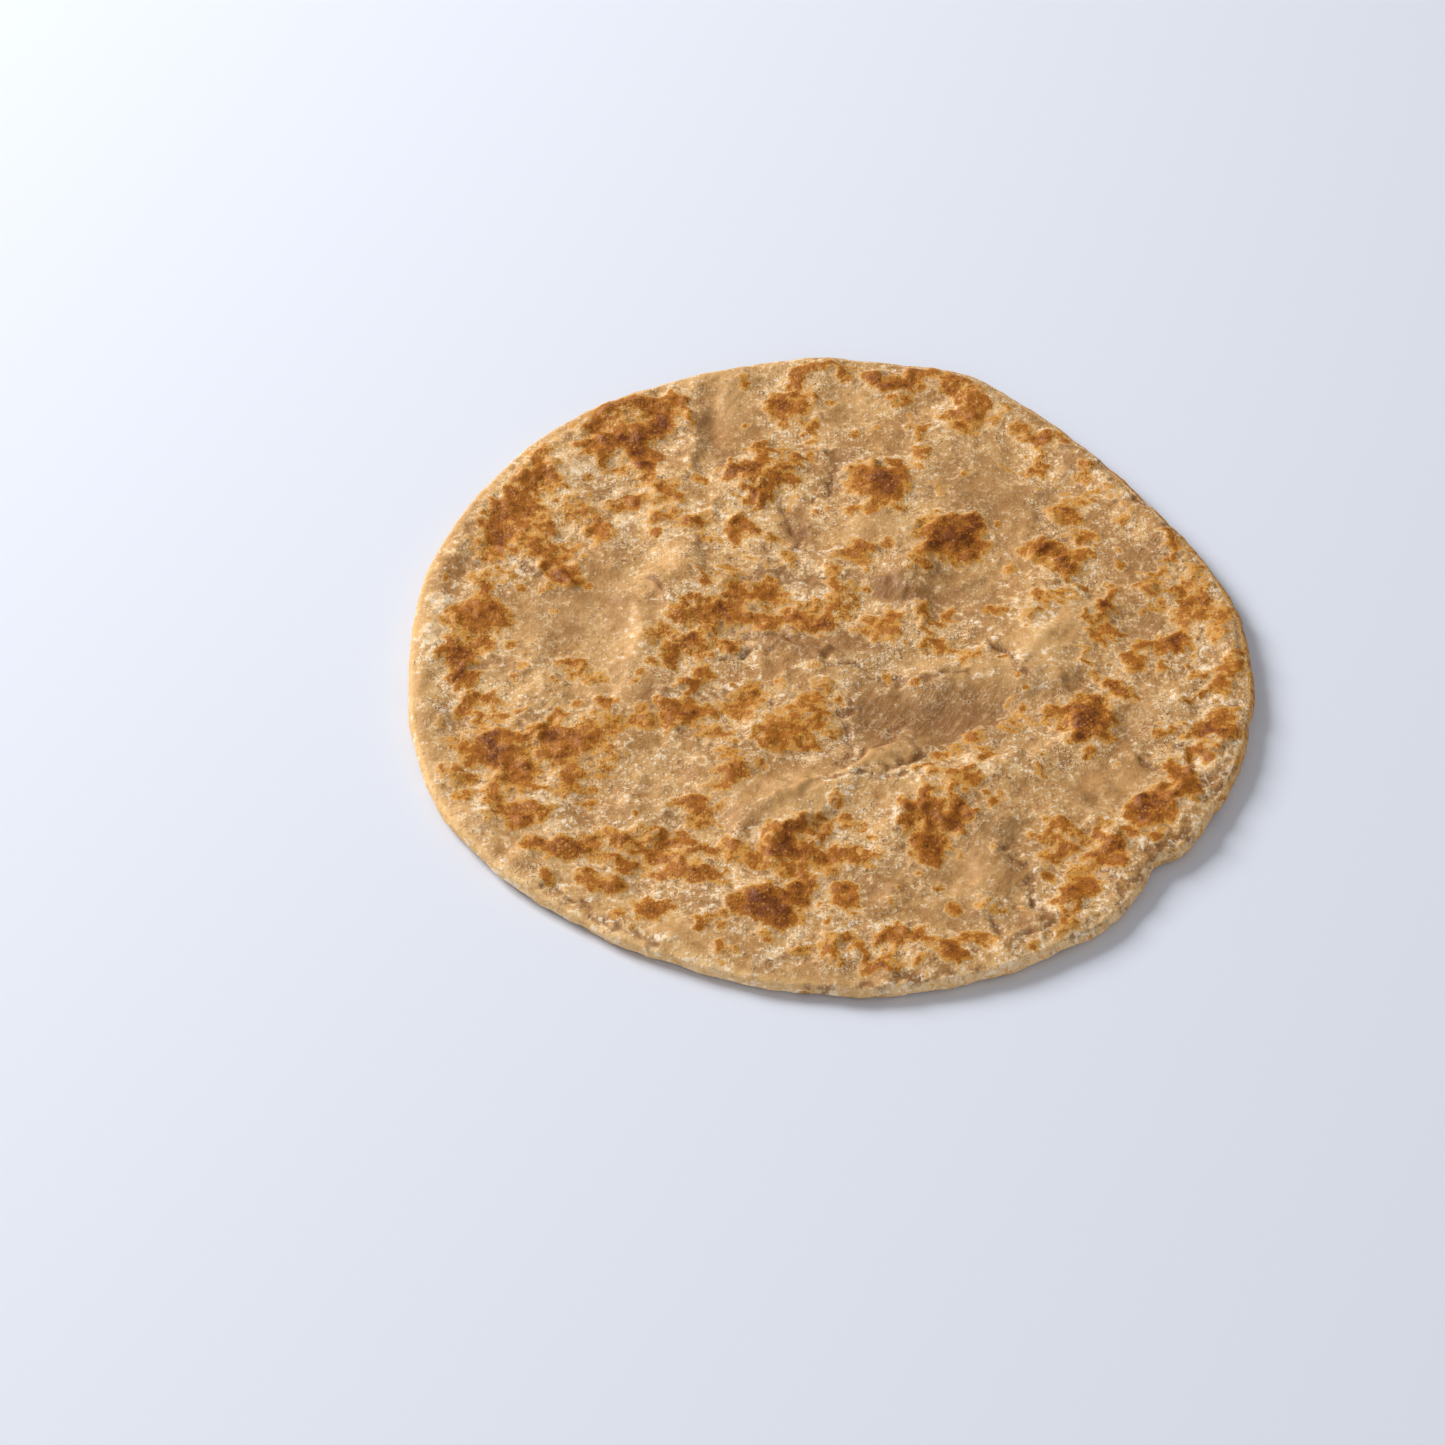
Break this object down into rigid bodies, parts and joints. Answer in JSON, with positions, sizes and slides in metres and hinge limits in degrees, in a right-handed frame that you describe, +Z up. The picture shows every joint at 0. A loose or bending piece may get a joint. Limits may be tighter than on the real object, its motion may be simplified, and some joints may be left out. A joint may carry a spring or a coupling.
{
  "type": "paratha flatbread",
  "caption": "Flat griddle-baked paratha: a thin, nearly round sheet of bread with toasted blisters, folds and a curled margin.",
  "frame": {"origin": "on the surface the bread lies on, under the middle of its bounding box", "axes": "+X to the eater's right, +Y away from the eater along the slightly longer way across, +Z up"},
  "size_m": [0.189, 0.2056, 0.0055],
  "materials": {
    "baked_dough": "matte whole-wheat flatbread: golden crumb, brown toasted spots, a dusting of flour"
  },
  "bodies": {
    "root": {"paratha": "baked_dough"}
  },
  "joints": []
}
